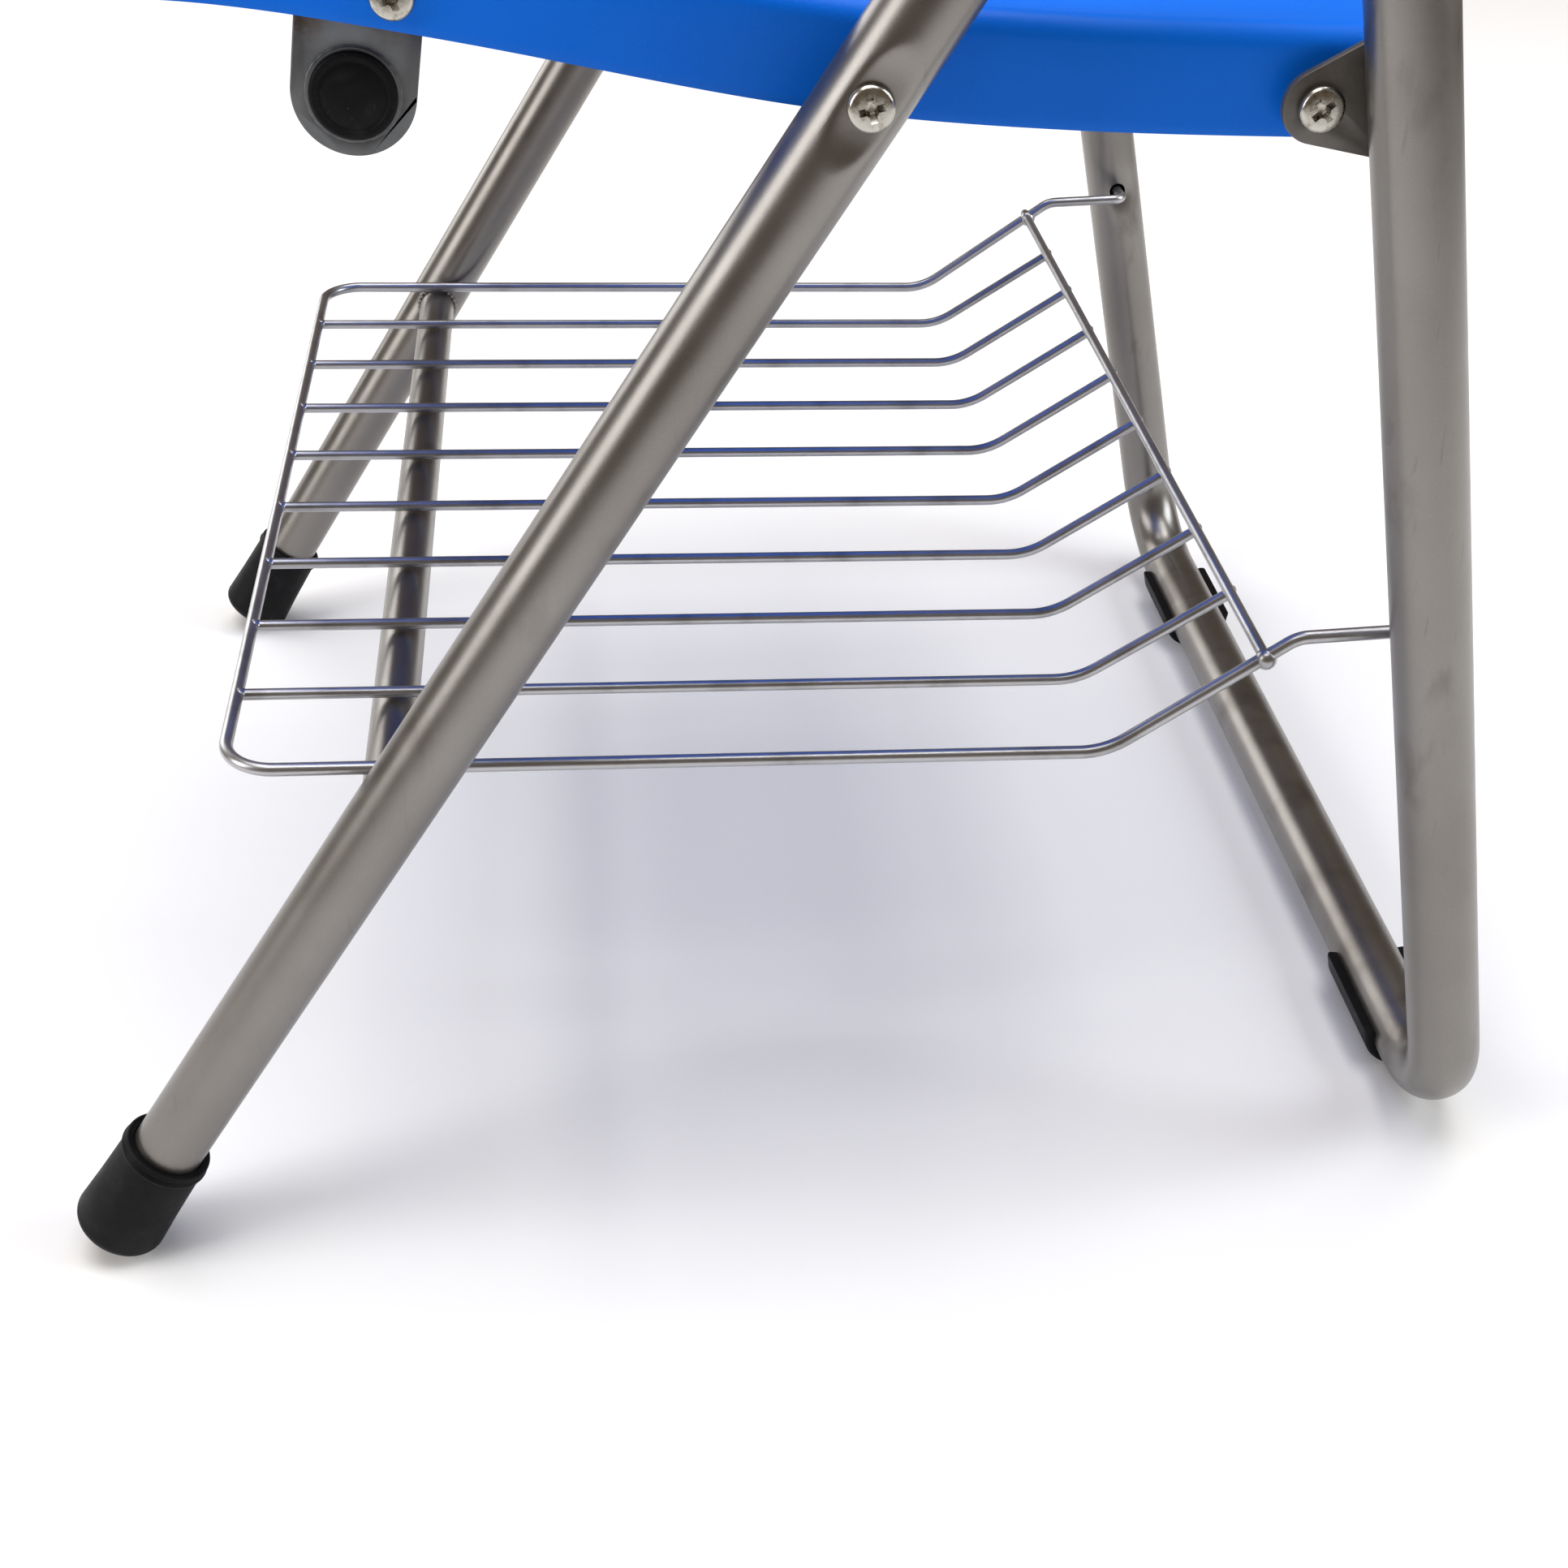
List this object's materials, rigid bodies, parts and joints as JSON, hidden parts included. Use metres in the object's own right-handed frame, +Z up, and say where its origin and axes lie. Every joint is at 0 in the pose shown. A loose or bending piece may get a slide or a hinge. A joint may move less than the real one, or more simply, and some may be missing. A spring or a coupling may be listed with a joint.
{
  "type": "folding chair",
  "caption": "Folding chair with a tubular steel frame, a moulded plastic seat and back, and a wire book rack under the seat.",
  "frame": {"origin": "on the floor, under the middle of the open chair", "axes": "+Z up, -Y the way the sitter faces, +X the sitter's left"},
  "size_m": [0.4898, 0.5161, 0.796],
  "materials": {
    "frame_paint": "satin silver-grey paint on round steel tube",
    "blue_plastic": "moulded polypropylene with a fine satin grain",
    "foot_rubber": "matte black rubber, lightly scuffed",
    "black_plastic": "black moulded plastic",
    "dark_steel": "dark slate-grey steel with brown weld marks",
    "rack_wire": "silver-painted drawn steel wire",
    "zinc_fastener": "bright zinc plate"
  },
  "bodies": {
    "front_frame": {"front_frame_tube": "frame_paint", "foot_cap_left": "foot_rubber", "foot_cap_right": "foot_rubber", "guide_plate_left": "frame_paint", "guide_plate_right": "frame_paint", "backrest_shell": "blue_plastic", "back_screws": "zinc_fastener", "seat_pivot_bolts": "zinc_fastener", "seat_pivot_washers": "black_plastic", "seat_pivot_nuts": "zinc_fastener"},
    "crossbar": {"front_crossbar": "frame_paint"},
    "seat": {"seat_shell": "blue_plastic", "seat_rail_left": "dark_steel", "seat_rail_right": "dark_steel", "cross_tube_lug_left": "dark_steel", "cross_tube_lug_right": "dark_steel", "cross_tube_plug_left": "black_plastic", "cross_tube_plug_right": "black_plastic", "seat_cross_tube": "dark_steel", "seat_rear_tie": "dark_steel", "seat_skirt_screws": "zinc_fastener", "rear_pivot_bolts": "zinc_fastener", "rear_pivot_bushes": "zinc_fastener", "rear_pivot_nuts": "zinc_fastener"},
    "rear_frame": {"rear_frame_tube": "frame_paint", "hinge_plate_left": "dark_steel", "hinge_plate_right": "dark_steel", "floor_glide_left": "black_plastic", "floor_glide_right": "black_plastic", "leg_top_plug_left": "black_plastic", "leg_top_plug_right": "black_plastic", "guide_pins": "zinc_fastener", "guide_pin_washers": "zinc_fastener", "guide_pin_nuts": "zinc_fastener"},
    "rack": {"rack_outer_wire": "rack_wire", "rack_inner_wires": "rack_wire", "rack_rear_rod": "rack_wire"}
  },
  "joints": [
    {"name": "seat_fold", "type": "hinge", "parent": "front_frame", "child": "seat", "pos_m": [0, 0.0247, 0.3995], "axis": [1, 0, 0], "range_deg": [0, 50.18]},
    {"name": "rear_leg_fold", "type": "hinge", "parent": "seat", "child": "rear_frame", "pos_m": [0, 0.1505, 0.3885], "axis": [1, 0, 0], "range_deg": [-95.35, 0]},
    {"name": "rack_tilt", "type": "hinge", "parent": "front_frame", "child": "crossbar", "pos_m": [0, -0.12959, 0.176], "axis": [1, 0, 0], "range_deg": [0, 32.05]},
    {"name": "rack_slide", "type": "slide", "parent": "crossbar", "child": "rack", "axis": [0, -0.9984, 0.0558], "range_m": [0, 0.12201]}
  ],
  "couplings": [
    {"joint": "rear_leg_fold", "follows": "seat_fold", "ratio": -1.9},
    {"joint": "rack_tilt", "follows": "seat_fold", "ratio": 0.63846},
    {"joint": "rack_slide", "follows": "seat_fold", "m_per_rad": 0.1392}
  ]
}
